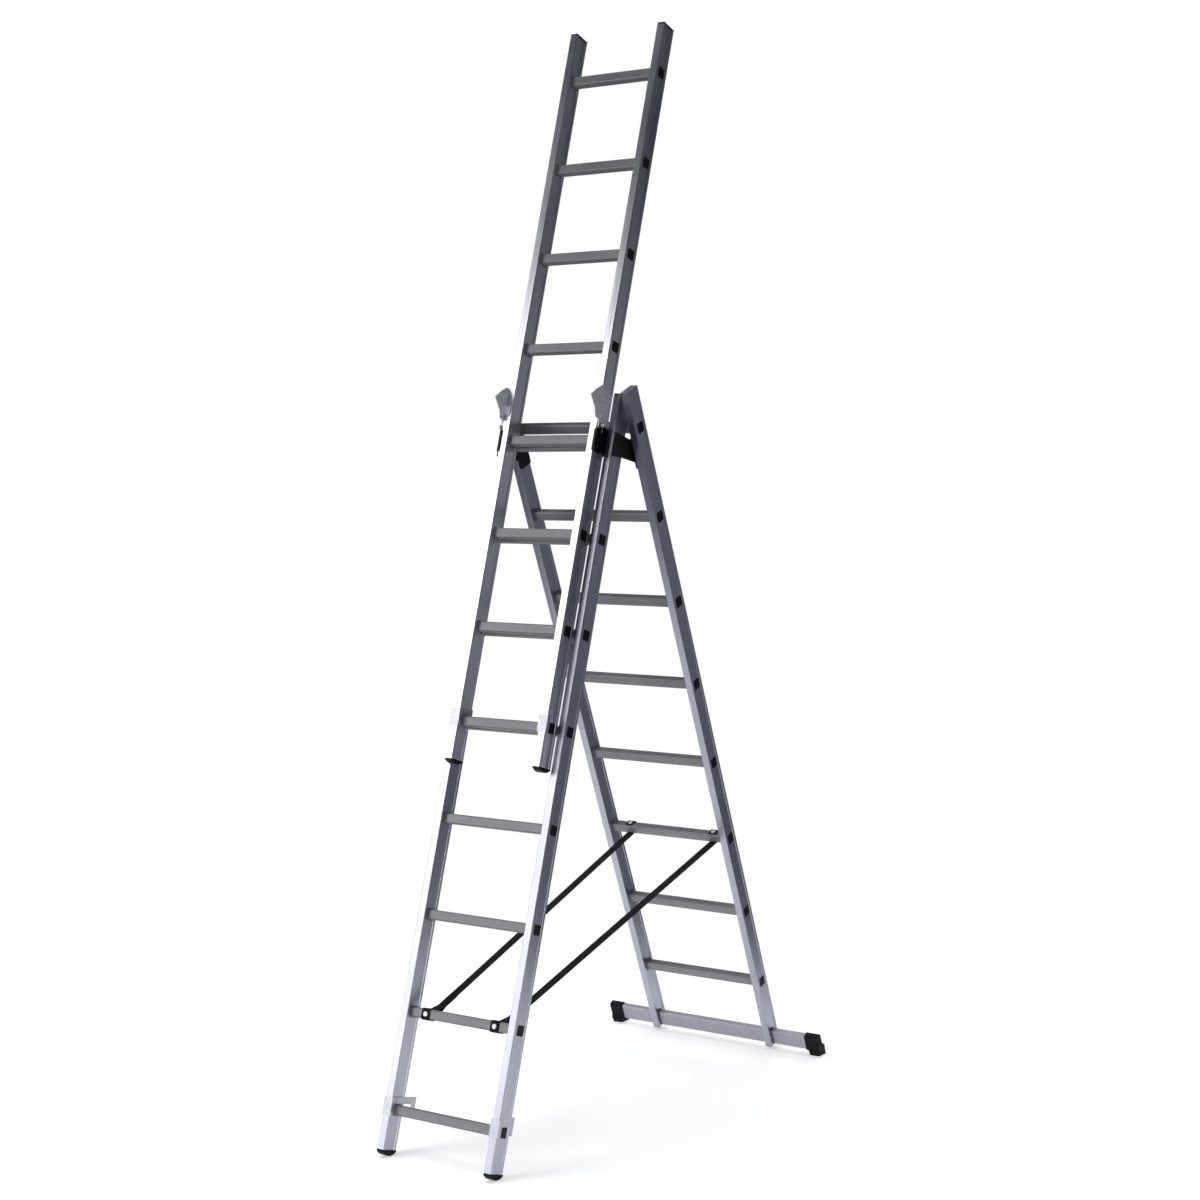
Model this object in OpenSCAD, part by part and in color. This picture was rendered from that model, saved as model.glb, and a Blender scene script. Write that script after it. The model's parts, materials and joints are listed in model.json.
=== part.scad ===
// Three-section combination ladder, standing as an A-frame with its upper section run out.
// X runs across the rungs, Y from the climbing side to the rear, Z up. The origin is on the
// ground at the middle of the footprint.
// Each section is drawn upright in its own frame: y is the depth from the stile's front face,
// z is the height along the stile from its lower end. A frame module then leans it into place.

/* [Ladder] */
// Distance between rung centres
rung_pitch = 280; // [250:5:300]
// Rungs in each section
rung_count = 8; // [8]
// Rungs by which the extension is raised above the middle section
rungs_raised = 4; // [3:1:5]
// Backward lean of the middle section from the vertical, degrees
front_lean = 17.3; // [15:0.1:20]
// Forward lean of the rear section from the vertical, degrees
rear_lean = 23.3; // [21:0.1:26]

/* [Section widths and lengths] */
// Outer width of the extension section
extension_w = 328; // [320:1:332]
// Outer width of the middle section
middle_w = 396; // [392:1:398]
// Outer width of the rear section
rear_w = 464; // [460:1:470]
// Length of a middle or extension stile
stile_len = 2215; // [2200:1:2250]
// Length of a rear stile
rear_len = 2325; // [2300:1:2350]
// Height of the lowest rung centre on the middle and extension sections
first_rung = 113; // [110:1:116]
// Height of the lowest rung centre on the rear section
rear_first_rung = 252; // [245:1:260]
// Depth by which the extension stiles sit inside the middle section
nest = 12; // [8:1:13]

/* [Stile extrusion] */
// Depth of a stile, front to rear
stile_d = 58; // [58]
// Thickness of a stile
stile_t = 24; // [24]
// Wall of the extrusion
stile_wall = 1.8; // [1.5:0.1:2.2]
// Depth of the groove along each side face
groove = 1.5; // [1:0.1:1.8]

/* [Rungs] */
// Side of the square rung tube
rung_side = 28; // [26:1:28]
// Corner radius of the rung tube
rung_corner = 4; // [3:0.5:5]
// Side of the flared collar at the stile
collar_side = 35; // [33:1:35]

/* [Stabiliser] */
// Half of the bar's length
bar_half = 400; // [380:1:420]
// Height of the bar's section
bar_h = 54; // [50:1:58]
// Depth of the bar's section
bar_d = 20; // [18:1:21]
// Length of bar that each shoe covers
shoe_cover = 43; // [40:1:50]

/* [Hinge] */
// Height of the pivot along a rear stile
pivot_up_rear = 2165; // [2160:1:2170]
// Height of the pivot along a middle stile
pivot_up_middle = 2108; // [2104:1:2112]
// Depth of the pivot behind a middle stile's front face
pivot_back_middle = 110; // [109:1:113]
// Radius of the pivot bolt
pivot_r = 6; // [5:0.5:7]
// Thickness of a hinge plate
plate_t = 4.5; // [4:0.1:4.6]

/* [Straps] */
// Width of the webbing
strap_w = 28; // [24:1:30]
// Thickness of the webbing
strap_t = 1.6; // [1.2:0.1:2]
// Distance of a strap from the centre line at the middle section's second rung
strap_x_front = 120; // [110:1:130]
// Distance of the left strap from the centre line at the rear section's third rung
strap_x_rear_left = 142; // [130:1:185]
// Distance of the right strap from the centre line at the rear section's third rung
strap_x_rear_right = 170; // [130:1:185]

/* [Latches] */
// Height of a latch pin along the middle stile
latch_up = 2113; // [2112:1:2115]
// Thickness of the latch sheet
latch_t = 2.5; // [2:0.1:2.6]

/* [Hidden] */
$fn = 32;
fit = 0.1;          // clearance between pieces of one section
eps = 0.01;         // overlap that keeps a cut clean
sheet_t = 2.5;      // sheet of the clip hooks
rivet_r = 3.2;      // rivet heads on the hooks and guides
edge_r = 2;         // rounded edges of the extrusion
lip = 9.9;          // plain band beside the groove, front and rear
bar_up = 4;         // height of the bar's lower face above the stile's end
bar_y = 14.5;       // depth of the bar's front face
bar_wall = 2;
foot_h = 16.5;      // rubber under a middle stile, at the middle of its curved sole
foot_round = 44;    // radius of the sole
sole_h = 13;        // cap under an extension stile, at the middle of its curved sole
cap_t = 4;          // flange of an end cap
plug_t = 1.1;       // flange of a rung plug, inside the groove
bolt_r = 4;         // stabiliser bolts
running = 0.06;     // radial clearance of a running fit

// Frames ------------------------------------------------------------------

extension_y = nest - stile_d;                 // front face of the extension, middle section's frame
raise = rungs_raised * rung_pitch;
pivot_back_rear = stile_d / 2;

// The middle section stands on its curved soles, so its frame is lifted by this much.
base_z = foot_round + stile_d / 2 * sin(front_lean) - (foot_round - foot_h) * cos(front_lean);

// World place of the pivot, and of the lower end of the rear stiles, with the frame's y still open.
pivot_y0 = pivot_up_middle * sin(front_lean) + pivot_back_middle * cos(front_lean);
pivot_z = base_z + pivot_up_middle * cos(front_lean) - pivot_back_middle * sin(front_lean);
rear_y0 = pivot_y0 + pivot_up_rear * sin(rear_lean) - pivot_back_rear * cos(rear_lean);
rear_z = pivot_z - pivot_up_rear * cos(rear_lean) - pivot_back_rear * sin(rear_lean);

// The footprint runs from the toe of the middle feet to the heel of the rear shoes.
foot_edge = foot_h - foot_round + sqrt(foot_round * foot_round - pow(stile_d / 2 + 0.3, 2));
shoe_front = 4;
shoe_back = 54;
toe_y = -0.3 * cos(front_lean) - foot_edge * sin(front_lean);
shoe_y = rear_y0 + shoe_back * cos(rear_lean) + (rear_z + shoe_back * sin(rear_lean)) * tan(rear_lean);
base_y = -(toe_y + shoe_y) / 2;

module on_middle() { translate([0, base_y, base_z]) rotate([-front_lean, 0, 0]) children(); }
module on_extension() { on_middle() translate([0, extension_y, raise]) children(); }
module on_rear() { translate([0, base_y + rear_y0, rear_z]) rotate([rear_lean, 0, 0]) children(); }

// side is -1 for the left stile and +1 for the right one.
module on_side(side) { if (side < 0) mirror([1, 0, 0]) children(); else children(); }
module both_sides() { for (side = [-1, 1]) on_side(side) children(); }

// Outlines ----------------------------------------------------------------

module rounded_rect(w, h, r) {
    square([w - 2 * r, h], center = true);
    square([w, h - 2 * r], center = true);
    for (x = [-1, 1], y = [-1, 1]) translate([x * (w / 2 - r), y * (h / 2 - r)]) circle(r);
}

// Outline in the depth and height plane, drawn out along X from x to x + t.
module plate(x, t) { translate([x, 0, 0]) rotate([90, 0, 90]) linear_extrude(t) children(); }

// A pin, bolt shank or bore along X.
module rod(x, length, y, z, r) { translate([x, y, z]) rotate([0, 90, 0]) cylinder(h = length, r = r); }

// Stiles ------------------------------------------------------------------

module stile_outline() {
    difference() {
        translate([0, stile_d / 2]) rounded_rect(stile_t, stile_d, edge_r);
        for (side = [-1, 1]) scale([side, 1])
            polygon([[stile_t / 2 - groove, lip + groove], [stile_t / 2 + eps, lip],
                     [stile_t / 2 + eps, stile_d - lip], [stile_t / 2 - groove, stile_d - lip - groove]]);
        translate([0, stile_d / 2])
            square([stile_t - 2 * (groove + stile_wall), stile_d - 2 * stile_wall], center = true);
    }
}

// One stile of a section of outer width w, with a window for each rung.
module stile(w, length, first) {
    difference() {
        translate([w / 2 - stile_t / 2, 0, 0]) linear_extrude(length) stile_outline();
        for (k = [0 : rung_count - 1])
            translate([0, 0, first + k * rung_pitch])
                plate(w / 2 - stile_t - eps, stile_t + 2 * eps) rung_outline(rung_side + 2 * fit);
    }
}

module middle_stile() { color("silver") stile(middle_w, stile_len, first_rung); }

module extension_stile() { color("slategray") stile(extension_w, stile_len, first_rung); }

// A rear stile has a window for the stabiliser bar, a hole for its bolt and one for the pivot's nut.
module rear_stile() {
    inner = rear_w / 2 - stile_t;
    color("silver") difference() {
        stile(rear_w, rear_len, rear_first_rung);
        plate(inner - 1, stile_t + 2) bar_outline(-bush_t - 2 * fit);
        translate([bolt_x, stile_d - stile_wall - 1, bolt_z]) rotate([-90, 0, 0])
            cylinder(h = stile_wall + 2, r = bolt_r + fit);
        rod(inner - 1, stile_wall + groove + 2, pivot_back_rear, pivot_up_rear, 10);
    }
}

// Rungs -------------------------------------------------------------------

module rung_outline(side) {
    translate([stile_d / 2, 0]) rounded_rect(side, side, rung_corner * side / rung_side);
}

tread_rib_w = 1.6;
tread_rib_h = 0.9;
tread_ribs = 5;
tread_step = 4;

module tread_outline() {
    rung_outline(rung_side);
    for (k = [0 : tread_ribs - 1])
        translate([stile_d / 2 + (k - (tread_ribs - 1) / 2) * tread_step - tread_rib_w / 2, 0])
            square([tread_rib_w, rung_side / 2 + tread_rib_h]);
}

// A rung of a section of outer width w: ribbed tube, open ends, a flared collar against each stile.
module rung(w) {
    inner = w / 2 - stile_t;
    tube_half = w / 2 - groove - fit;
    tread_half = inner - groove;
    collar_t = 2 * groove - fit;
    color("gainsboro") difference() {
        union() {
            plate(-tube_half, 2 * tube_half) rung_outline(rung_side);
            plate(-tread_half, 2 * tread_half) tread_outline();
            both_sides() plate(inner - groove, collar_t) rung_outline(collar_side);
        }
        plate(-tube_half - 1, 2 * tube_half + 2) rung_outline(rung_side - 3);
    }
}

module rear_rung(k) { on_rear() translate([0, 0, rear_first_rung + (k - 1) * rung_pitch]) rung(rear_w); }
module middle_rung(k) { on_middle() translate([0, 0, first_rung + (k - 1) * rung_pitch]) rung(middle_w); }
module extension_rung(k) {
    on_extension() translate([0, 0, first_rung + (k - 1) * rung_pitch]) rung(extension_w);
}

// Black plugs close the rung ends inside the outer groove.
module rung_plugs(w, first) {
    plug_side = rung_side + 2;
    body_side = rung_side - 3 - 2 * fit;
    color([0.08, 0.08, 0.09]) both_sides() for (k = [0 : rung_count - 1])
        translate([0, 0, first + k * rung_pitch]) {
            plate(w / 2 - groove, plug_t) rung_outline(plug_side);
            plate(w / 2 - groove - 12, 12) difference() {
                rung_outline(body_side);
                rung_outline(body_side - 4);
            }
        }
}

module rear_rung_plugs() { on_rear() rung_plugs(rear_w, rear_first_rung); }
module middle_rung_plugs() { on_middle() rung_plugs(middle_w, first_rung); }
module extension_rung_plugs() { on_extension() rung_plugs(extension_w, first_rung); }

// End caps and feet -------------------------------------------------------

// The part of a cap that goes into the hollow stile, from z downwards when h is negative.
module cap_insert(h) {
    translate([0, stile_d / 2, min(0, h)]) linear_extrude(abs(h)) difference() {
        square([stile_t - 2 * (groove + stile_wall + fit), stile_d - 2 * (stile_wall + fit)], center = true);
        square([stile_t - 2 * (groove + stile_wall + 2), stile_d - 2 * (stile_wall + 2)], center = true);
    }
}

module top_caps(w, length) {
    color([0.3, 0.3, 0.33]) both_sides() translate([w / 2 - stile_t / 2, 0, length]) {
        translate([0, stile_d / 2, 0]) linear_extrude(cap_t) rounded_rect(stile_t, stile_d, edge_r);
        cap_insert(-16);
    }
}

// Caps with a shallow curved sole.
module bottom_caps(w) {
    color([0.08, 0.08, 0.09]) both_sides() translate([w / 2 - stile_t / 2, 0, 0]) {
        plate(-stile_t / 2, stile_t) intersection() {
            translate([0, -sole_h]) square([stile_d, sole_h]);
            translate([stile_d / 2, foot_round - sole_h]) circle(foot_round, $fn = 96);
        }
        cap_insert(16);
    }
}

module rear_end_caps() { on_rear() top_caps(rear_w, rear_len); }
module middle_top_caps() { on_middle() top_caps(middle_w, stile_len); }
module extension_end_caps() { on_extension() { top_caps(extension_w, stile_len); bottom_caps(extension_w); } }

// Rubber foot with a curved sole and three grip grooves across it.
module middle_foot() {
    foot_d = stile_d + 0.6;
    foot_w = stile_t + 0.6;
    color([0.06, 0.06, 0.07]) translate([middle_w / 2 - stile_t / 2, 0, 0]) {
        difference() {
            plate(-foot_w / 2, foot_w) intersection() {
                translate([-0.3, -foot_h]) square([foot_d, foot_h]);
                translate([stile_d / 2, foot_round - foot_h]) circle(foot_round, $fn = 96);
            }
            for (y = [-1, 0, 1])
                translate([-foot_w, stile_d / 2 + y * 9 - 1.2, -foot_h - 1]) cube([2 * foot_w, 2.4, 3]);
        }
        cap_insert(20);
    }
}

// Stabiliser --------------------------------------------------------------

bolt_x = rear_w / 2 - stile_t / 2;       // bolts sit on the stiles' centre lines
bolt_z = bar_up + bar_h / 2;
bush_t = 1;                              // sleeve of the bush between bar and stile

module bar_outline(inset) {
    translate([bar_y + bar_d / 2, bar_up + bar_h / 2])
        rounded_rect(bar_d - 2 * inset, bar_h - 2 * inset, 3.5 - inset);
}

module stabiliser_bar() {
    on_rear() color("lightgray") difference() {
        plate(-bar_half, 2 * bar_half) difference() { bar_outline(0); bar_outline(bar_wall); }
        both_sides() translate([bolt_x, bar_y - 1, bolt_z]) rotate([-90, 0, 0])
            cylinder(h = bar_d + 2, r = bolt_r + fit);
    }
}

// Black bush that lines a stile's window: a sleeve with a flange in the groove of each side face.
module stabiliser_bushes() {
    flange_t = groove - fit;
    sleeve_x = rear_w / 2 - stile_t + fit;
    on_rear() color([0.06, 0.06, 0.07]) both_sides() difference() {
        union() {
            plate(sleeve_x, stile_t - 2 * fit) bar_outline(-bush_t - fit);
            for (x = [sleeve_x, rear_w / 2 - fit - flange_t])
                plate(x, flange_t) bar_outline(-2.8);
        }
        plate(sleeve_x - 1, stile_t + 2) bar_outline(-fit);
        translate([bolt_x, bar_y - 5, bolt_z]) rotate([-90, 0, 0]) cylinder(h = bar_d + 10, r = bolt_r + fit);
    }
}

// Shoe: a cap over the bar's end on a broad pad. The sole is cut level with the ground when the
// ladder stands open, and has two grip grooves across it.
module stabiliser_shoe() {
    wall = 3.2;
    inner = bar_half - shoe_cover;
    outer = bar_half + 5;
    pad_w = shoe_cover - 6;
    color([0.05, 0.05, 0.06]) difference() {
        on_rear() difference() {
            union() {
                plate(inner, outer - inner) bar_outline(-wall);
                plate(outer - pad_w, pad_w)
                    polygon([[shoe_front, 4], [bar_y - wall, 20], [bar_y + bar_d + wall, 24], [shoe_back, 4]]);
                translate([outer - pad_w / 2, (shoe_front + shoe_back) / 2, -45])
                    linear_extrude(50) rounded_rect(pad_w, shoe_back - shoe_front, 6);
            }
            plate(0, bar_half + fit) bar_outline(-fit);
        }
        translate([0, -2000, -200]) cube([1000, 4000, 200]);
        for (y = [-9, 9])
            translate([0, -base_y - 27 + y, -1]) cube([1000, 2.4, 3]);
    }
}

module hex_bolt_y(z, head_y, length) {
    translate([0, head_y, z]) rotate([90, 0, 0]) { cylinder(h = length, r = bolt_r); }
    translate([0, head_y, z]) rotate([-90, 0, 0]) cylinder(h = 5, r = 7.5, $fn = 6);
}

// Bolts run from behind each stile, through the bar, to a nut held inside the front flange. A rivet
// with a washer on top of the third rung holds the end of each strap.
module rear_fasteners() {
    nut_t = 6;
    on_rear() color("silver") {
        both_sides() translate([bolt_x, 0, 0]) {
            hex_bolt_y(bolt_z, stile_d + fit, stile_d - stile_wall - 1);
            translate([0, stile_wall + fit, bolt_z]) rotate([-90, 0, 0]) difference() {
                cylinder(h = nut_t, r = 7.5, $fn = 6);
                translate([0, 0, -1]) cylinder(h = nut_t + 2, r = bolt_r + fit);
            }
        }
        for (x = [-strap_x_rear_left, strap_x_rear_right])
            translate([x, stile_d / 2, rear_first_rung + 2 * rung_pitch + loop_side / 2 + strap_t + fit])
                strap_rivet();
    }
}

// Hinge -------------------------------------------------------------------

middle_plate_x = middle_w / 2 + fit;
rear_plate_x = rear_w / 2 - stile_t - fit - plate_t;

module plate_rivets(x, length, r) {
    for (place = [[15, 2048], [15, 2094], [45, 2056], [45, 2096]]) rod(x, length, place[0], place[1], r);
}

// Plate on the outside of a middle stile. It reaches back to the pivot behind the stile.
module middle_hinge_plate() {
    color([0.07, 0.07, 0.08]) difference() {
        union() {
            plate(middle_plate_x, plate_t)
                polygon([[1, 2034], [1, 2104], [60, 2106], [96, 2107], [102, 2118], [119, 2118], [128, 2094],
                         [127, 2054], [50, 2044]]);
            rod(middle_plate_x, plate_t, pivot_back_middle, pivot_up_middle, 20);
        }
        rod(middle_plate_x - 1, plate_t + 2, pivot_back_middle, pivot_up_middle, pivot_r + running);
        plate_rivets(middle_plate_x - 1, plate_t + 2, rivet_r + fit);
    }
}

// Plate on the inside of a rear stile.
module rear_hinge_plate() {
    top = pivot_up_rear + 24;
    color([0.07, 0.07, 0.08]) difference() {
        plate(rear_plate_x, plate_t) {
            translate([pivot_back_rear, (2092 + top) / 2]) rounded_rect(stile_d - 2, top - 2092, 8);
        }
        rod(rear_plate_x - 1, plate_t + 2, pivot_back_rear, pivot_up_rear, pivot_r + fit / 2);
        for (y = [14, 44]) rod(rear_plate_x - 1, plate_t + 2, y, 2106, 5 + fit);
    }
}

// Pivot bolts with their nuts, and the flush rivets of the rear plates.
module hinge_bolts() {
    head_t = 5;
    on_rear() color("dimgray") both_sides() {
        rod(middle_plate_x - 2 * fit, rear_plate_x + 14 - middle_plate_x, pivot_back_rear, pivot_up_rear, pivot_r);
        rod(middle_plate_x - 2 * fit - head_t, head_t, pivot_back_rear, pivot_up_rear, 10);
        difference() {
            rod(rear_w / 2 - stile_t + fit, 6, pivot_back_rear, pivot_up_rear, 9.5);
            rod(rear_w / 2 - stile_t, 8, pivot_back_rear, pivot_up_rear, pivot_r + fit / 2);
        }
        for (y = [14, 44]) rod(rear_plate_x, plate_t, y, 2106, 5);
    }
}

// Guides and latches ------------------------------------------------------

guide_x = extension_w / 2 + 0.5;
guide_t = 4;
guide_low = 2033;
guide_high = 2102;
latch_y = -32;                         // pin's depth, middle section's frame
latch_x = extension_w / 2 + 1;
ear_x = latch_x + latch_t + 0.5;
ear_t = 3;

// Black bracket: a cheek along the extension stile with a front lip, two arms to the middle stile
// above and below its top rung, and an ear for the latch pin.
module guide_bracket() {
    arm_x = guide_x + guide_t;
    arm_t = middle_w / 2 - stile_t - arm_x - fit;
    color([0.06, 0.06, 0.07]) difference() {
        union() {
            plate(guide_x, guide_t) translate([extension_y + stile_d / 2 - 0.5, (guide_low + guide_high) / 2])
                rounded_rect(stile_d + 5, guide_high - guide_low, 3);
            translate([guide_x - 4, extension_y - 3, guide_low + 3]) cube([guide_t + 4, 2.5, guide_high - guide_low - 6]);
            for (z = [guide_low, guide_high - 8])
                translate([arm_x - eps, -24, z]) cube([arm_t + eps, 74, z == guide_low ? 20 : 16]);
            plate(ear_x, ear_t) {
                translate([latch_y, latch_up]) circle(7);
                translate([latch_y - 7, guide_high - 16]) square([20, latch_up - guide_high + 16]);
            }
        }
        rod(ear_x - 1, ear_t + 2, latch_y, latch_up, 3.5 + fit / 2);
        for (y = [8, 40], z = [guide_low + 10, guide_high])
            rod(guide_x - 1, arm_t + guide_t + 2, y, z, rivet_r + fit);
    }
}

// Zinc latch: a sheet beside the extension stile, a thumb ear to the front, and a finger that
// closes across the front of the stile.
module latch() {
    cheek_back = 4;
    color([0.72, 0.73, 0.75]) difference() {
        union() {
            plate(latch_x, latch_t) {
                polygon([[latch_y - 9, latch_up], [-47, 2128], [-65, 2130], [-76, 2156], [-104, 2182],
                         [-80, 2206], [-55, 2226], [-20, 2222], [cheek_back, 2214], [cheek_back, 2122],
                         [latch_y + 9, latch_up]]);
                translate([latch_y, latch_up]) circle(9);
            }
            translate([latch_x - 19, extension_y - 3.5, 2146]) cube([19 + latch_t, latch_t, 24]);
            for (z = [2138, 2164, 2190])
                translate([latch_x + latch_t - eps, -40, z]) cube([1.2, 40, 5]);
        }
        rod(latch_x - 1, latch_t + 2, latch_y, latch_up, 3.5 + running);
    }
}

module latch_pins() {
    on_middle() color("silver") both_sides() {
        rod(latch_x, 16, latch_y, latch_up, 3.5);
        rod(latch_x + 16, 2, latch_y, latch_up, 6);
    }
}

// Torsion spring on each pin, drawn as closed turns with one straight leg.
module latch_springs() {
    turn_r = 5;
    wire_r = 0.9;
    first_turn = ear_x + ear_t + 1.4;
    on_middle() color("gray") both_sides() {
        for (k = [0 : 2])
            translate([first_turn + 2.2 * k, latch_y, latch_up]) rotate([0, 90, 0])
                rotate_extrude() translate([turn_r, 0]) circle(wire_r, $fn = 16);
        translate([first_turn, latch_y + turn_r, latch_up - 20]) cylinder(h = 21, r = wire_r + 0.1);
    }
}

// Clip hooks --------------------------------------------------------------

// Sheet clip round the foot of a stile: front band, short outer leg, and an inner leg that passes
// over the rung's collar. reach is the depth at which the inner leg ends.
module clip_hook(w, reach, hooked) {
    outer = w / 2;
    inner = w / 2 - stile_t;
    collar_top = first_rung + collar_side / 2 + 1;
    band_low = 97;
    band_high = 147;
    color([0.62, 0.63, 0.66]) {
        translate([inner - sheet_t - 0.3, -sheet_t - 0.5, band_low])
            cube([stile_t + 2 * sheet_t + 0.6, sheet_t, band_high - band_low]);
        translate([outer + 0.3, -0.5 - eps, band_low]) cube([sheet_t, 12, band_high - band_low]);
        plate(inner - sheet_t - 0.3, sheet_t)
            polygon(concat([[-0.5 - eps, band_low], [9, band_low], [9, collar_top]],
                hooked ? [[reach - 18, collar_top], [reach - 18, 102], [reach, 102], [reach, 154]]
                       : [[reach, collar_top], [reach, 152]],
                [[30, 150], [-0.5 - eps, band_high]]));
    }
}

module middle_hooks() { on_middle() both_sides() clip_hook(middle_w, 108, true); }
module extension_hooks() { on_extension() both_sides() clip_hook(extension_w, stile_d + 1, false); }

module hook_rivets(w) {
    x = w / 2 - stile_t - sheet_t - 0.3 - 2;
    for (place = [[3.5, 104], [22, 141]]) rod(x, 1.9, place[0], place[1], rivet_r);
}

// Rivets of the hooks, hinge plates and guides, and one with a washer at the front of each strap loop.
module middle_rivets() {
    on_middle() color("gray") both_sides() {
        hook_rivets(middle_w);
        translate([strap_x_front, stile_d / 2 - loop_side / 2 - strap_t - fit, first_rung + rung_pitch])
            rotate([90, 0, 0]) strap_rivet();
        plate_rivets(middle_plate_x, plate_t, rivet_r);
        for (y = [8, 40], z = [guide_low + 10, guide_high])
            rod(guide_x + guide_t, middle_w / 2 - stile_t - guide_x - guide_t - fit, y, z, rivet_r);
    }
}

module extension_rivets() { on_extension() color("gray") both_sides() hook_rivets(extension_w); }

// Straps ------------------------------------------------------------------

loop_gap = 0.6;
loop_side = rung_side + 2 * tread_rib_h + 2 * loop_gap;

// Rivet head on a washer.
module strap_rivet() { cylinder(h = 0.8, r = 7); cylinder(h = 2.4, r = rivet_r); }

// Webbing round a rung. The open form leaves the rung's front face bare and ends on its top.
module strap_loop(x, open_front) {
    outer = loop_side + 2 * strap_t;
    translate([x - strap_w / 2, 0, 0]) rotate([90, 0, 90]) linear_extrude(strap_w)
        translate([stile_d / 2, 0]) difference() {
            rounded_rect(outer, outer, 5);
            rounded_rect(loop_side, loop_side, 4);
            if (open_front) {
                translate([-outer, 0]) square([outer - 11, outer]);
                translate([-outer, -outer]) square([outer - 4, outer + eps]);
            }
        }
}

// Taut webbing from behind the middle section's second rung to under the rear section's third.
// from and to are its two ends on the centre line of the webbing.
module band(from, to) {
    run = to - from;
    length = norm(run);
    translate(from) rotate([atan2(-run[1], run[2]), 0, 0]) rotate([0, asin(run[0] / length), 0])
        translate([-strap_w / 2, -strap_t / 2, 0]) cube([strap_w, strap_t, length]);
}

module strap(side, x_rear) {
    half = loop_side / 2 + strap_t / 2;
    front_y = stile_d / 2 + half;
    front_z = first_rung + rung_pitch;
    under_y = stile_d / 2;
    under_z = rear_first_rung + 2 * rung_pitch - half;
    from = [side * strap_x_front,
            base_y + front_y * cos(front_lean) + front_z * sin(front_lean),
            base_z - front_y * sin(front_lean) + front_z * cos(front_lean)];
    to = [side * x_rear,
          base_y + rear_y0 + under_y * cos(rear_lean) - under_z * sin(rear_lean),
          rear_z + under_y * sin(rear_lean) + under_z * cos(rear_lean)];
    color([0.05, 0.05, 0.06]) {
        on_middle() translate([0, 0, front_z]) strap_loop(side * strap_x_front, false);
        on_rear() translate([0, 0, rear_first_rung + 2 * rung_pitch]) strap_loop(side * x_rear, true);
        band(from, to);
    }
}

// Nodes -------------------------------------------------------------------

on_rear() on_side(-1) rear_stile();  // rear_stile_left
on_rear() on_side(1) rear_stile();  // rear_stile_right
on_middle() on_side(-1) middle_stile();  // middle_stile_left
on_middle() on_side(1) middle_stile();  // middle_stile_right
on_extension() on_side(-1) extension_stile();  // extension_stile_left
on_extension() on_side(1) extension_stile();  // extension_stile_right
for (k = [1 : rung_count]) {
    rear_rung(k);
    middle_rung(k);
    extension_rung(k);
}
rear_rung_plugs();
middle_rung_plugs();
extension_rung_plugs();
rear_end_caps();
middle_top_caps();
extension_end_caps();
on_middle() on_side(-1) middle_foot();  // middle_foot_left
on_middle() on_side(1) middle_foot();  // middle_foot_right
stabiliser_bar();
stabiliser_bushes();
on_side(-1) stabiliser_shoe();  // stabiliser_shoe_left
on_side(1) stabiliser_shoe();  // stabiliser_shoe_right
rear_fasteners();
on_middle() on_side(-1) middle_hinge_plate();  // middle_hinge_plate_left
on_middle() on_side(1) middle_hinge_plate();  // middle_hinge_plate_right
on_rear() on_side(-1) rear_hinge_plate();  // rear_hinge_plate_left
on_rear() on_side(1) rear_hinge_plate();  // rear_hinge_plate_right
hinge_bolts();
on_middle() on_side(-1) guide_bracket();  // guide_bracket_left
on_middle() on_side(1) guide_bracket();  // guide_bracket_right
on_middle() on_side(-1) latch();  // latch_left
on_middle() on_side(1) latch();  // latch_right
latch_pins();
latch_springs();
middle_hooks();
extension_hooks();
middle_rivets();
extension_rivets();
strap(-1, strap_x_rear_left);  // strap_left
strap(1, strap_x_rear_right);  // strap_right
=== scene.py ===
import json
import math
import random

import bpy
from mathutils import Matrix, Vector


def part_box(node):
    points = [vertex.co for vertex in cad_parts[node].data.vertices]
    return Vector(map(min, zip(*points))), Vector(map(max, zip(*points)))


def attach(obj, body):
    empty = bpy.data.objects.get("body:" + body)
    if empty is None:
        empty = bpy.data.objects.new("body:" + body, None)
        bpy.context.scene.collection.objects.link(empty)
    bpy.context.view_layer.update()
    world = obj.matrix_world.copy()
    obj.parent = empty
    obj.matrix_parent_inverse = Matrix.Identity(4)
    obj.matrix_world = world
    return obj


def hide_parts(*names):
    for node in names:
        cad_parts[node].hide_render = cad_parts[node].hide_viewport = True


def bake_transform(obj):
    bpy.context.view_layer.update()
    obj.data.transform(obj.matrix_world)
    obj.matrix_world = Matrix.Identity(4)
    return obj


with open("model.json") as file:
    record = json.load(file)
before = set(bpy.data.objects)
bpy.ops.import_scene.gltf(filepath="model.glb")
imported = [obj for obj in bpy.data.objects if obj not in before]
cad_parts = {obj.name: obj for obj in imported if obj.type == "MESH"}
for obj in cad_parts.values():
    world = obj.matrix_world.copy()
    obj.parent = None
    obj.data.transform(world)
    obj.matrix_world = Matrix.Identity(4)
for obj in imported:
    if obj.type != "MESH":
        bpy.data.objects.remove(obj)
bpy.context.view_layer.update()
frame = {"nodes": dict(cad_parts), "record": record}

# All lengths are metres and all angles in the camera table are degrees.
NODES = frame["nodes"]
RECORD = frame["record"]
random.seed(7)


# ---------------------------------------------------------------- places from the CAD

def centre(node):
    low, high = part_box(node)
    return (low + high) / 2


def section_up(name):
    """Unit vector up a section's stiles, from its lowest rung to its highest."""
    return (centre(name + "_rung_8") - centre(name + "_rung_1")).normalized()


ACROSS = Vector((1, 0, 0))
UP = {name: section_up(name) for name in ("rear", "middle", "extension")}
BACK = {name: UP[name].cross(ACROSS).normalized() for name in UP}
for name in BACK:
    if BACK[name].y < 0:
        BACK[name] = -BACK[name]
LEAN = {name: math.atan2(-UP[name].y, UP[name].z) for name in UP}


# ---------------------------------------------------------------- node materials

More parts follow.
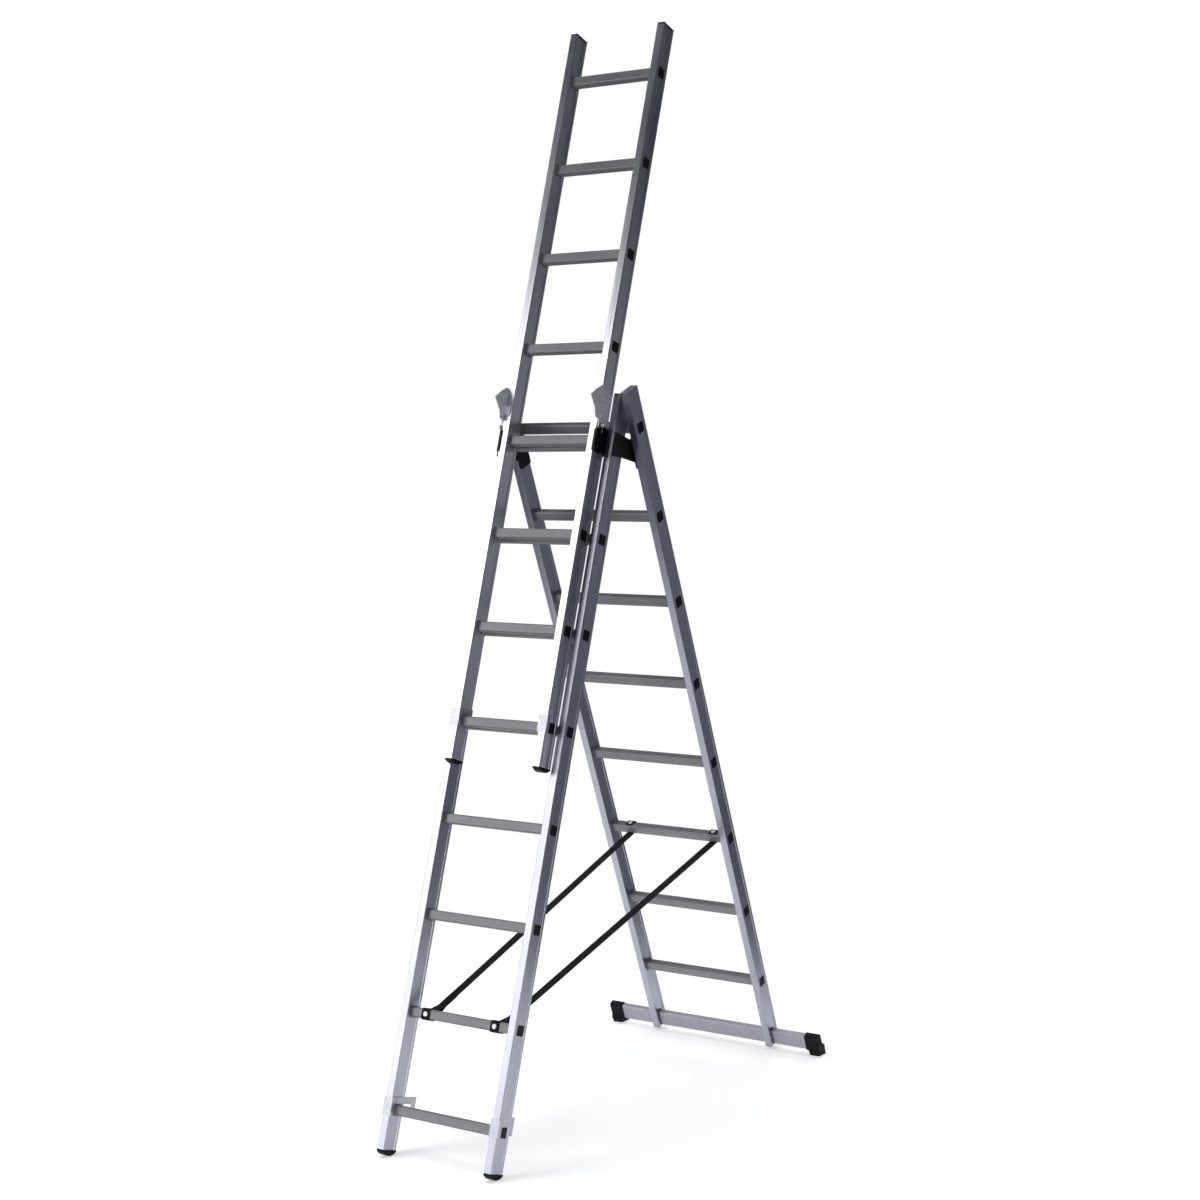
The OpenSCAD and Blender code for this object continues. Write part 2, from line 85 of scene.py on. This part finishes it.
class Shade:
    """A node material built step by step. Its textures read object coordinates, in cells per metre."""

    def __init__(self, name, turn=0.0):
        self.mat = bpy.data.materials.new(name)
        self.mat.use_nodes = True
        self.tree = self.mat.node_tree
        self.tree.nodes.clear()
        out = self.add("ShaderNodeOutputMaterial")
        self.bsdf = self.add("ShaderNodeBsdfPrincipled")
        self.link(self.bsdf, "BSDF", out, "Surface")
        coords = self.add("ShaderNodeTexCoord")
        self.place = self.add("ShaderNodeMapping")
        self.place.inputs["Rotation"].default_value = (turn, 0, 0)
        self.link(coords, "Object", self.place, "Vector")
        self.height = None

    def add(self, kind, **values):
        node = self.tree.nodes.new(kind)
        for key, value in values.items():
            setattr(node, key, value)
        return node

    def link(self, a, output, b, inp):
        self.tree.links.new(a.outputs[output], b.inputs[inp])

    def set(self, **values):
        for key, value in values.items():
            self.bsdf.inputs[key.replace("_", " ")].default_value = value

    def stretched(self, scale):
        node = self.add("ShaderNodeMapping")
        node.inputs["Scale"].default_value = scale
        self.link(self.place, "Vector", node, "Vector")
        return node

    def noise(self, scale, detail=4.0, rough=0.55):
        node = self.add("ShaderNodeTexNoise")
        node.inputs["Scale"].default_value = 1.0
        node.inputs["Detail"].default_value = detail
        node.inputs["Roughness"].default_value = rough
        self.link(self.stretched(scale), "Vector", node, "Vector")
        return node.outputs["Fac"]

    def cells(self, scale, feature="F1", output="Distance"):
        node = self.add("ShaderNodeTexVoronoi", feature=feature)
        node.inputs["Scale"].default_value = 1.0
        self.link(self.stretched(scale), "Vector", node, "Vector")
        return node.outputs[output]

    def span(self, value, low, high, to_low=0.0, to_high=1.0):
        node = self.add("ShaderNodeMapRange")
        for index, number in ((1, low), (2, high), (3, to_low), (4, to_high)):
            node.inputs[index].default_value = number
        self.tree.links.new(value, node.inputs[0])
        return node.outputs[0]

    def math(self, operation, a, b=0.0):
        node = self.add("ShaderNodeMath", operation=operation)
        for index, value in enumerate((a, b)):
            if isinstance(value, (int, float)):
                node.inputs[index].default_value = value
            else:
                self.tree.links.new(value, node.inputs[index])
        return node.outputs[0]

    def total(self, first, *rest):
        for value in rest:
            first = self.math("ADD", first, value)
        return first

    def times(self, a, b):
        return self.math("MULTIPLY", a, b)

    def blend(self, factor, a, b):
        node = self.add("ShaderNodeMix", data_type="RGBA")
        self.tree.links.new(factor, node.inputs["Factor"])
        for key, value in (("A", a), ("B", b)):
            socket = [s for s in node.inputs if s.name == key and s.type == "RGBA"][0]
            if isinstance(value, tuple):
                socket.default_value = (*value, 1)
            else:
                self.tree.links.new(value, socket)
        return [s for s in node.outputs if s.type == "RGBA"][0]

    def colour(self, value):
        self.tree.links.new(value, self.bsdf.inputs["Base Color"])

    def rough(self, value):
        self.tree.links.new(value, self.bsdf.inputs["Roughness"])

    def bump(self, value, depth, strength):
        node = self.add("ShaderNodeBump")
        node.inputs["Distance"].default_value = depth
        node.inputs["Strength"].default_value = strength
        self.tree.links.new(value, node.inputs["Height"])
        if self.height is not None:
            self.tree.links.new(self.height, node.inputs["Normal"])
        self.height = node.outputs["Normal"]
        self.tree.links.new(self.height, self.bsdf.inputs["Normal"])


def aluminium(name, light, dark, rough, turn=0.0, along="z", metal=1.0):
    """Extruded aluminium: fine die lines along the bar, cloudy oxide, handling smears, scratches."""
    fine_lines, fine_run = 900.0, 0.6
    broad_lines, broad_run = 160.0, 0.35
    if along == "z":
        fine = (fine_lines, fine_lines, fine_run)
        broad = (broad_lines, broad_lines, broad_run)
    else:
        fine = (fine_run, fine_lines, fine_lines)
        broad = (broad_run, broad_lines, broad_lines)

    shade = Shade(name, turn)
    die = shade.noise(fine, detail=3.0)
    streak = shade.noise(broad, detail=5.0, rough=0.6)
    cloud = shade.noise((7.0, 7.0, 2.2), detail=5.0, rough=0.62)
    speck = shade.noise((420.0,) * 3, detail=2.0)
    scratch_bed = shade.cells((55.0, 55.0, 9.0), feature="DISTANCE_TO_EDGE")
    scratch_mask = shade.noise((5.0, 9.0, 4.0), detail=2.0)
    scratch = shade.times(shade.span(scratch_bed, 0.0, 0.012, 1.0, 0.0),
                          shade.span(scratch_mask, 0.56, 0.66))

    tone = shade.total(shade.span(streak, 0.3, 0.7, 0.0, 0.45),
                       shade.span(cloud, 0.3, 0.72, 0.0, 0.55))
    freshly_cut = tuple(min(1, c * 1.25) for c in light)
    shade.colour(shade.blend(shade.times(scratch, 0.35), shade.blend(tone, dark, light), freshly_cut))
    shade.rough(shade.total(shade.span(cloud, 0.3, 0.7, -0.05, 0.07),
                            shade.span(die, 0.3, 0.7, -0.035, 0.035),
                            shade.span(speck, 0.4, 0.8, 0.0, 0.05),
                            shade.times(scratch, -0.08),
                            rough))
    shade.set(Metallic=metal, Anisotropic=0.35)
    shade.bump(die, 0.00005, 0.5)
    shade.bump(streak, 0.00012, 0.35)
    shade.bump(shade.times(scratch, -1.0), 0.00006, 0.5)
    return shade.mat


def moulded(name, base, worn, rough, grain):
    """Moulded plastic or rubber: fine leather grain, dust in the hollows, scuffed patches."""
    shade = Shade(name)
    pores = shade.cells((grain,) * 3)
    fine = shade.noise((grain * 1.7,) * 3, detail=2.0)
    patch = shade.noise((22.0, 22.0, 30.0), detail=6.0, rough=0.7)
    scuff = shade.span(patch, 0.55, 0.78)
    dust = shade.times(shade.span(fine, 0.45, 0.75), scuff)
    shade.colour(shade.blend(shade.total(shade.times(scuff, 0.35), dust), base, worn))
    shade.rough(shade.total(shade.span(patch, 0.3, 0.75, rough - 0.1, rough + 0.12),
                            shade.span(pores, 0.0, 0.7, 0.05, -0.05)))
    shade.set(Specular_IOR_Level=0.16)
    shade.bump(pores, 0.00012, 0.45)
    shade.bump(patch, 0.0004, 0.25)
    return shade.mat


def zinc(name, light, dark, rough, scale=130.0, metal=1.0, painted_above=None):
    """Zinc plate: crystal spangle, brushed marks, dull grey stains. Black above painted_above."""
    shade = Shade(name, LEAN["middle"])
    spangle = shade.cells((scale,) * 3, output="Color")
    edge = shade.cells((scale,) * 3, feature="DISTANCE_TO_EDGE")
    grey = shade.add("ShaderNodeRGBToBW")
    shade.tree.links.new(spangle, grey.inputs[0])
    crystal = grey.outputs[0]
    brush = shade.noise((700.0, 700.0, 25.0), detail=3.0)
    stain = shade.noise((45.0,) * 3, detail=6.0, rough=0.7)
    tone = shade.total(shade.times(crystal, 0.55), shade.span(stain, 0.3, 0.7, 0.0, 0.45))
    plated = shade.blend(tone, dark, light)
    shade.rough(shade.total(shade.times(crystal, 0.16),
                            shade.span(brush, 0.3, 0.7, rough - 0.06, rough + 0.06)))
    if painted_above is None:
        shade.colour(plated)
        shade.set(Metallic=metal)
    else:
        coords = shade.add("ShaderNodeTexCoord")
        parts = shade.add("ShaderNodeSeparateXYZ")
        shade.link(coords, "Object", parts, "Vector")
        paint = shade.math("GREATER_THAN", parts.outputs["Z"], painted_above)
        shade.colour(shade.blend(paint, plated, BLACK))
        bare = shade.times(shade.math("SUBTRACT", 1.0, paint), metal)
        shade.tree.links.new(bare, shade.bsdf.inputs["Metallic"])
    shade.bump(brush, 0.00008, 0.4)
    shade.bump(shade.span(edge, 0.0, 0.08), 0.00005, 0.4)
    shade.bump(stain, 0.0002, 0.25)
    return shade.mat


def coated(name, base, chip):
    """Black powder coat over steel: orange peel, rubbed places where grey metal starts to show."""
    shade = Shade(name)
    peel = shade.noise((650.0,) * 3, detail=2.0)
    rub = shade.noise((30.0,) * 3, detail=8.0, rough=0.72)
    worn = shade.span(rub, 0.66, 0.74)
    shade.colour(shade.blend(shade.times(worn, 0.5), base, chip))
    shade.rough(shade.total(shade.span(rub, 0.3, 0.7, 0.3, 0.46),
                            shade.span(peel, 0.3, 0.7, -0.05, 0.05)))
    shade.set(Specular_IOR_Level=0.2)
    shade.bump(peel, 0.00015, 0.35)
    return shade.mat


def webbing(name, base, ridge_highlight):
    """Woven strap: ribs across and warp bundles along, read from the strap's own lay attribute. The
    ridges of the weave take a lighter tone, a painted highlight.
    """
    rows_per_metre, bundles_per_metre, twill_per_metre, twill_slant = 520.0, 600.0, 480.0, 0.5
    shade = Shade(name)
    lay = shade.add("ShaderNodeAttribute", attribute_name="lay")
    parts = shade.add("ShaderNodeSeparateXYZ")
    shade.link(lay, "Vector", parts, "Vector")
    sideways, lengthways = parts.outputs["X"], parts.outputs["Y"]

    def wave(value, per_metre):
        return shade.span(shade.math("SINE", shade.times(value, per_metre * 2 * math.pi)), -1.0, 1.0)

    rows = wave(lengthways, rows_per_metre)
    bundles = wave(sideways, bundles_per_metre)
    twill = wave(shade.total(sideways, shade.times(lengthways, twill_slant)), twill_per_metre)
    knit = shade.times(shade.total(rows, twill), 0.5)
    weave = shade.times(knit, shade.span(bundles, 0.0, 0.6, 0.3, 1.0))
    fibre = shade.noise((1900.0,) * 3, detail=2.0)
    fade = shade.noise((16.0,) * 3)
    tone = shade.total(shade.times(weave, 0.6), shade.span(fade, 0.3, 0.7, 0.0, 0.4))
    # Ridges of the weave take the lighter tone: painted highlight. The fade is the strap's own uneven
    # colour.
    shade.colour(shade.blend(tone, base, ridge_highlight))
    shade.rough(shade.span(fibre, 0.3, 0.7, 0.72, 0.95))
    shade.set(Sheen_Weight=0.03, Sheen_Roughness=0.5, Specular_IOR_Level=0.12)
    shade.bump(weave, 0.0005, 0.8)
    shade.bump(fibre, 0.0001, 0.3)
    return shade.mat


# Each pair is a finish's light and dark tone.
STILE = ((0.47, 0.47, 0.54), (0.36, 0.36, 0.43))
# The extension's stiles are the same aluminium as the others, painted lighter: painted light for how
# brightly they catch the studio lamps.
LIT_STILE = ((0.76, 0.76, 0.80), (0.64, 0.64, 0.69))
# The rungs' tones are darker than the stiles': their own duller finish, with painted shade of the
# ribbed treads added to it.
TREAD_AND_SHADE = ((0.27, 0.266, 0.278), (0.18, 0.177, 0.187))
BAR = ((0.42, 0.41, 0.46), (0.35, 0.34, 0.385))
# The latch's light tone is nearly white: painted highlight for the glare on its zinc plate.
LATCH_GLARE = ((0.97, 0.98, 0.99), (0.58, 0.59, 0.62))
HOOK = ((0.60, 0.60, 0.66), (0.40, 0.40, 0.46))
RIVET = ((0.80, 0.80, 0.82), (0.42, 0.42, 0.45))
BOLT = ((0.74, 0.74, 0.76), (0.36, 0.36, 0.39))

# These are base tones and what shows where the surface is worn or chipped. For the strap, the second
# tone is a painted highlight on the raised ridges of the weave.
BLACK = (0.003, 0.003, 0.0038)
DUSTY = (0.013, 0.013, 0.015)
GREY_CAP = ((0.22, 0.22, 0.25), (0.34, 0.34, 0.37))
PLATE_CHIP = (0.10, 0.10, 0.11)
DARK_RIVET = ((0.010, 0.010, 0.012), (0.16, 0.16, 0.17))
STRAP_TONES = ((0.003, 0.003, 0.0035), (0.018, 0.018, 0.020))
THREAD_TONES = ((0.012, 0.012, 0.014), (0.05, 0.05, 0.055))

# The rivets of the hinge plates, near the top, are black. Those lower down are bare zinc.
BLACK_RIVETS_FROM = centre("hinge_bolts").z - 0.3

FINISH = {
    "stile_middle": aluminium("aluminium_middle", *STILE, 0.32, turn=-LEAN["middle"]),
    # Painted light: the extension's stiles take the lighter copy of the stile tones.
    "stile_extension": aluminium("aluminium_extension_lit", *LIT_STILE, 0.32, turn=-LEAN["extension"]),
    "stile_rear": aluminium("aluminium_rear", *STILE, 0.34, turn=-LEAN["rear"]),
    "rung_aluminium": aluminium("aluminium_rung_shaded", *TREAD_AND_SHADE, 0.50, along="x", metal=0.55),
    "bar_aluminium": aluminium("aluminium_bar", *BAR, 0.42, along="x", metal=0.8),
    "black_plastic": moulded("plastic_black", BLACK, DUSTY, 0.50, grain=1100.0),
    "cap_plastic": moulded("plastic_cap", *GREY_CAP, 0.42, grain=1100.0),
    "rubber": moulded("rubber_black", BLACK, DUSTY, 0.66, grain=700.0),
    "black_steel": coated("coated_black", BLACK, PLATE_CHIP),
    "black_rivet": coated("coated_rivet", *DARK_RIVET),
    "zinc_steel": zinc("zinc_spangle_glare", *LATCH_GLARE, 0.34, metal=0.35),
    "hook_steel": zinc("zinc_hook", *HOOK, 0.40, scale=90.0),
    "plate_rivets": zinc("zinc_rivet", *RIVET, 0.32, scale=260.0, metal=0.6,
                         painted_above=BLACK_RIVETS_FROM),
    "bolt_steel": zinc("zinc_bolt", *BOLT, 0.32, scale=260.0, metal=0.7),
    "webbing": webbing("webbing_black", *STRAP_TONES),
    "thread": moulded("thread_black", *THREAD_TONES, 0.7, grain=2600.0),
}

for part in RECORD["subparts"]:
    node, slot = part["node"], part["material_slot"]
    if slot == "stile_aluminium":
        slot = "stile_" + node.split("_")[0]
    if node == "hinge_bolts":
        slot = "black_rivet"
    if node == "middle_rivets":
        slot = "plate_rivets"
    for held in NODES[node].material_slots:
        held.material = FINISH[slot]


# ---------------------------------------------------------------- straps

STRAP_W = 0.028
STRAP_T = 0.0016
LOOP_HALF = 0.0163      # from a rung's axis to the middle of the webbing round it
LOOP_CORNER = 0.005
SEAM_NEAR = 0.050       # the doubled part behind the front rung, measured along the strap
SEAM_FAR = 0.112
SEAM_EASE = 0.03        # from the end of the doubled part to where the strap runs straight
DOUBLE_GAP = 0.0018     # between the middles of the two layers
WRAP_START = 0.003      # from under the rear rung's axis to where the webbing starts round it
TOP_FLAP = 0.011        # how far the end lies past the axis, on top of the rear rung
STRAP_STEP = 0.0022     # between rings of the webbing's mesh

THREAD = 0.00045        # radius
STITCH = 0.0038         # from one stitch to the next
STITCH_GAP = 0.12       # share of a stitch's length left bare at each end
STITCH_WOBBLE = 0.00012
BOX_SIDE = 0.0035       # from the webbing's edge to the boxed seam
BOX_END = 0.006


def mesh_piece(name, verts, faces, body, finish, lay=None):
    mesh = bpy.data.meshes.new(name)
    mesh.from_pydata([tuple(v) for v in verts], [], faces)
    mesh.validate()
    mesh.update()
    if lay is not None:
        layer = mesh.attributes.new("lay", "FLOAT_VECTOR", "POINT")
        layer.data.foreach_set("vector", [c for point in lay for c in point])
    for face in mesh.polygons:
        face.use_smooth = True
    piece = bpy.data.objects.new(name, mesh)
    bpy.context.scene.collection.objects.link(piece)
    mesh.materials.append(FINISH[finish])
    if body:
        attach(piece, body)
    return piece


def corner_arc(hub, out, along, steps=6):
    """A quarter turn of the webbing about hub, from direction out to direction along."""
    return [hub + LOOP_CORNER * (out * math.cos(a) + along * math.sin(a))
            for a in (math.pi / 2 * k / steps for k in range(steps + 1))]


def resample(points, step):
    """Evenly spaced points along a path, ends kept."""
    lengths = [0.0]
    for a, b in zip(points, points[1:]):
        lengths.append(lengths[-1] + (b - a).length)
    total = lengths[-1]
    count = max(2, round(total / step))
    result, k = [], 0
    for i in range(count + 1):
        at = total * i / count
        while k < len(points) - 2 and lengths[k + 1] < at:
            k += 1
        span = lengths[k + 1] - lengths[k]
        part = 0 if span == 0 else (at - lengths[k]) / span
        result.append(points[k].lerp(points[k + 1], min(1, max(0, part))))
    return result


def webbing_section(flat_steps=10, edge_steps=5):
    """Outline of the webbing: flat faces and rounded selvedges."""
    edge = STRAP_T / 2
    reach = STRAP_W / 2 - edge
    top = [(reach - 2 * reach * k / flat_steps, edge) for k in range(flat_steps + 1)]
    right = [(reach + edge * math.cos(a), edge * math.sin(a))
             for a in (-math.pi / 2 + math.pi * k / edge_steps for k in range(1, edge_steps))]
    return top + [(-x, -y) for x, y in right] + [(-x, -y) for x, y in top] + right


def ring_faces(first, i, n):
    """Faces between ring i and the next, in a run of rings of n points that starts at first."""
    here, ahead = first + i * n, first + (i + 1) * n
    return [(here + j, here + (j + 1) % n, ahead + (j + 1) % n, ahead + j) for j in range(n)]


def ribbon(points):
    """Webbing swept along a path and closed at both ends."""
    profile = webbing_section()
    verts, lay, faces = [], [], []
    run = 0.0
    n = len(profile)
    for i, p in enumerate(points):
        way = points[min(i + 1, len(points) - 1)] - points[max(i - 1, 0)]
        normal = ACROSS.cross(Vector((0, way.y, way.z)).normalized()).normalized()
        if i:
            run += (p - points[i - 1]).length
        for x, y in profile:
            verts.append(p + ACROSS * x + normal * y)
            lay.append((x, run, y))
    for i in range(len(points) - 1):
        faces += ring_faces(0, i, n)
    faces.append(tuple(range(n - 1, -1, -1)))
    last = (len(points) - 1) * n
    faces.append(tuple(range(last, last + n)))
    return verts, faces, lay


def thread_pass(start, end, lift, verts, faces, rings=7, sides=6):
    """One stitch: a thread that rises out of the webbing and dives back in."""
    rise, sunk = THREAD * 1.1, THREAD * 0.4
    along = end - start
    side = along.cross(lift).normalized()
    first = len(verts)
    for i in range(rings):
        t = i / (rings - 1)
        spine = start + along * t + lift * (rise * math.sin(math.pi * t) - sunk)
        for j in range(sides):
            turn = 2 * math.pi * j / sides
            verts.append(spine + THREAD * (side * math.cos(turn) + lift * math.sin(turn)))
    for i in range(rings - 1):
        faces += ring_faces(first, i, sides)


def stitching(name, leave, way, lift):
    """A boxed seam with a cross in it, on both faces of the doubled webbing."""
    half = STRAP_W / 2 - BOX_SIDE
    near, far = SEAM_NEAR + BOX_END, SEAM_FAR - BOX_END
    corners = [(-half, near), (half, near), (half, far), (-half, far)]
    lines = [(corners[k], corners[(k + 1) % 4]) for k in range(4)]
    lines += [(corners[0], corners[2]), (corners[1], corners[3])]
    surface = DOUBLE_GAP / 2 + STRAP_T / 2
    verts, faces = [], []
    for face in (1, -1):
        up = lift * face
        for (x0, y0), (x1, y1) in lines:
            count = round(math.hypot(x1 - x0, y1 - y0) / STITCH)
            for k in range(count):
                ends = []
                for t in ((k + STITCH_GAP) / count, (k + 1 - STITCH_GAP) / count):
                    wobble = random.uniform(-STITCH_WOBBLE, STITCH_WOBBLE)
                    ends.append(leave + up * surface + ACROSS * (x0 + (x1 - x0) * t + wobble)
                                + way * (y0 + (y1 - y0) * t))
                thread_pass(ends[0], ends[1], up, verts, faces)
    return mesh_piece(name, verts, faces, "middle_section", "thread")


def strap(side, node):
    low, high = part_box(node)
    front = centre("middle_rung_2")
    rear = centre("rear_rung_3")
    front.x = (low.x if side > 0 else high.x) + side * STRAP_W / 2
    rear.x = (high.x if side > 0 else low.x) - side * STRAP_W / 2
    f_back, f_up = BACK["middle"], UP["middle"]
    r_back, r_up = BACK["rear"], UP["rear"]
    leave = front + f_back * LOOP_HALF
    arrive = rear - r_up * LOOP_HALF
    way = (arrive - leave).normalized()
    lift = way.cross(ACROSS).normalized()
    if lift.z < 0:
        lift = -lift
    offset = lift * DOUBLE_GAP / 2

    # The cut end lies under the strap; the webbing goes round the front rung and back over itself,
    # then under, behind and over the rear rung to end flat on top of it.
    path = [leave + way * SEAM_FAR - offset, leave + way * SEAM_NEAR - offset]
    turn = LOOP_HALF - LOOP_CORNER
    loop = []
    for out, nxt in ((f_back, -f_up), (-f_up, -f_back), (-f_back, f_up), (f_up, f_back)):
        loop += corner_arc(front + turn * (out + nxt), out, nxt)
    path += loop[2:-2]      # without its tips, so that the doubled part runs into it smoothly
    path += [leave + way * SEAM_NEAR + offset, leave + way * SEAM_FAR + offset,
             leave + way * (SEAM_FAR + SEAM_EASE), arrive - way * SEAM_EASE,
             arrive + r_back * WRAP_START]
    for out, nxt in ((-r_up, r_back), (r_back, r_up)):
        path += corner_arc(rear + turn * (out + nxt), out, nxt)
    path.append(rear + r_up * LOOP_HALF - r_back * TOP_FLAP)
    points = resample(path, STRAP_STEP)
    verts, faces, lay = ribbon(points)
    piece = mesh_piece(node + "_webbing", verts, faces, None, "webbing", lay)
    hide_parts(node)
    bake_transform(piece)
    stitching(node + "_stitching", leave, way, lift)


strap(-1, "strap_left")
strap(1, "strap_right")


# ---------------------------------------------------------------- camera, light, floor

# The camera that was fitted to the photo.
CAMERA_AT = (3.3145, -5.1021, 1.9204)
CAMERA_DOWN = 7.17
CAMERA_ROUND = 32.78
CAMERA_LENS = 60.58
CAMERA_SHIFT = 0.1054

FLOOR_HALF = 12.0
FLOOR_COLOUR = (0.90, 0.90, 0.905, 1)
FLOOR_GLOW = 0.40
FLOOR_FADE = (1.0, 2.6)  # distances from the middle where the floor starts and ends its fade

# Each area light: place, what it looks at, width and height, watts, tint. The key stands where the
# front faces mirror the camera, so they go almost white.
AREA_LIGHTS = {
    "key": ((-3.0, -4.2, 2.75), (0.0, 0.0, 1.35), (2.8, 4.6), 145, (1, 1, 1)),
    "strip": ((-5.0, 0.5, 2.2), (0.0, 0.0, 1.2), (1.0, 3.0), 25, (0.9, 0.93, 1.0)),
    "side": ((4.1, -5.4, 1.4), (0.0, 0.0, 1.4), (2.6, 2.2), 95, (0.96, 0.97, 1.0)),
    "rear": ((-0.8, 5.0, 4.6), (0.0, 0.0, 1.2), (3.0, 3.0), 110, (0.95, 0.96, 1.0)),
}
OVERHEAD_AT = (-0.8, -0.6, 8.0)
OVERHEAD_ENERGY = 1.3
OVERHEAD_ANGLE = 50

# What the world lights the ladder with, by height: the direction's z from low to high, and the tones
# at places along that range. It is pale at the horizon and navy above, so the sides of the stiles
# darken towards the top.
SKY_RANGE = (-0.5, 0.5)
SKY = (
    (0.0, (0.09, 0.09, 0.12, 1)),
    (0.40, (0.15, 0.15, 0.185, 1)),
    (0.46, (0.34, 0.34, 0.37, 1)),
    (0.54, (0.30, 0.30, 0.33, 1)),
    (0.60, (0.024, 0.026, 0.038, 1)),
    (1.0, (0.014, 0.017, 0.030, 1)),
)
WHITE = (1, 1, 1, 1)


def empty_tree(holder):
    holder.use_nodes = True
    holder.node_tree.nodes.clear()
    return holder.node_tree


def map_range(tree, low, high):
    node = tree.nodes.new("ShaderNodeMapRange")
    for index, number in ((1, low), (2, high), (3, 0.0), (4, 1.0)):
        node.inputs[index].default_value = number
    return node


def floor_paint():
    """Pale floor that fades out a few metres away, so that no horizon shows behind the ladder."""
    paint = bpy.data.materials.new("floor_paint")
    tree = empty_tree(paint)
    out = tree.nodes.new("ShaderNodeOutputMaterial")
    matte = tree.nodes.new("ShaderNodeBsdfDiffuse")
    glow = tree.nodes.new("ShaderNodeEmission")
    pale = tree.nodes.new("ShaderNodeAddShader")
    clear = tree.nodes.new("ShaderNodeBsdfTransparent")
    mix = tree.nodes.new("ShaderNodeMixShader")
    coords = tree.nodes.new("ShaderNodeTexCoord")
    away = tree.nodes.new("ShaderNodeVectorMath")
    fade = map_range(tree, *FLOOR_FADE)
    away.operation = "LENGTH"
    fade.interpolation_type = "SMOOTHSTEP"
    matte.inputs["Color"].default_value = FLOOR_COLOUR
    glow.inputs["Color"].default_value = WHITE
    glow.inputs["Strength"].default_value = FLOOR_GLOW
    tree.links.new(coords.outputs["Object"], away.inputs[0])
    tree.links.new(away.outputs["Value"], fade.inputs[0])
    tree.links.new(fade.outputs[0], mix.inputs["Fac"])
    tree.links.new(matte.outputs[0], pale.inputs[0])
    tree.links.new(glow.outputs[0], pale.inputs[1])
    tree.links.new(pale.outputs[0], mix.inputs[1])
    tree.links.new(clear.outputs[0], mix.inputs[2])
    tree.links.new(mix.outputs[0], out.inputs["Surface"])
    return paint


def sky():
    """The camera sees plain white, and the ladder is lit by the tones of SKY."""
    world = bpy.data.worlds.new("studio")
    bpy.context.scene.world = world
    tree = empty_tree(world)
    out = tree.nodes.new("ShaderNodeOutputWorld")
    mix = tree.nodes.new("ShaderNodeMixShader")
    seen = tree.nodes.new("ShaderNodeBackground")
    felt = tree.nodes.new("ShaderNodeBackground")
    path = tree.nodes.new("ShaderNodeLightPath")
    coords = tree.nodes.new("ShaderNodeTexCoord")
    parts = tree.nodes.new("ShaderNodeSeparateXYZ")
    height = map_range(tree, *SKY_RANGE)
    ramp = tree.nodes.new("ShaderNodeValToRGB")
    seen.inputs["Color"].default_value = WHITE
    seen.inputs["Strength"].default_value = 1.0
    bands = ramp.color_ramp.elements
    bands[0].position, bands[0].color = SKY[0]
    bands[1].position, bands[1].color = SKY[-1]
    for place, tone in SKY[1:-1]:
        bands.new(place).color = tone
    tree.links.new(coords.outputs["Generated"], parts.inputs[0])
    tree.links.new(parts.outputs["Z"], height.inputs[0])
    tree.links.new(height.outputs[0], ramp.inputs[0])
    tree.links.new(ramp.outputs[0], felt.inputs["Color"])
    tree.links.new(path.outputs["Is Camera Ray"], mix.inputs["Fac"])
    tree.links.new(felt.outputs[0], mix.inputs[1])
    tree.links.new(seen.outputs[0], mix.inputs[2])
    tree.links.new(mix.outputs[0], out.inputs["Surface"])


def aim(lamp, place, target):
    lamp.location = place
    lamp.rotation_euler = (Vector(target) - Vector(place)).to_track_quat("-Z", "Y").to_euler()
    lamp.visible_camera = False
    bpy.context.scene.collection.objects.link(lamp)


def studio():
    scene = bpy.context.scene

    cam_data = bpy.data.cameras.new("camera")
    cam = bpy.data.objects.new("camera", cam_data)
    scene.collection.objects.link(cam)
    cam.location = CAMERA_AT
    cam.rotation_euler = (math.radians(90 - CAMERA_DOWN), 0, math.radians(CAMERA_ROUND))
    cam_data.sensor_width = 36.0
    cam_data.lens = CAMERA_LENS
    cam_data.shift_y = CAMERA_SHIFT
    cam_data.clip_end = 100.0
    scene.camera = cam

    floor_mesh = bpy.data.meshes.new("floor")
    far = FLOOR_HALF
    corners = [(-far, -far, 0), (far, -far, 0), (far, far, 0), (-far, far, 0)]
    floor_mesh.from_pydata(corners, [], [(0, 1, 2, 3)])
    floor = bpy.data.objects.new("floor", floor_mesh)
    scene.collection.objects.link(floor)
    floor_mesh.materials.append(floor_paint())

    for name, (place, target, size, energy, tint) in AREA_LIGHTS.items():
        data = bpy.data.lights.new(name, "AREA")
        data.shape = "RECTANGLE"
        data.size, data.size_y = size
        data.energy = energy
        data.color = tint
        aim(bpy.data.objects.new(name, data), place, target)
    overhead = bpy.data.lights.new("overhead", "SUN")
    overhead.energy = OVERHEAD_ENERGY
    overhead.angle = math.radians(OVERHEAD_ANGLE)
    aim(bpy.data.objects.new("overhead", overhead), OVERHEAD_AT, (0.0, 0.0, 0.0))

    sky()
    scene.view_settings.view_transform = "Standard"


studio()

bpy.context.view_layer.update()
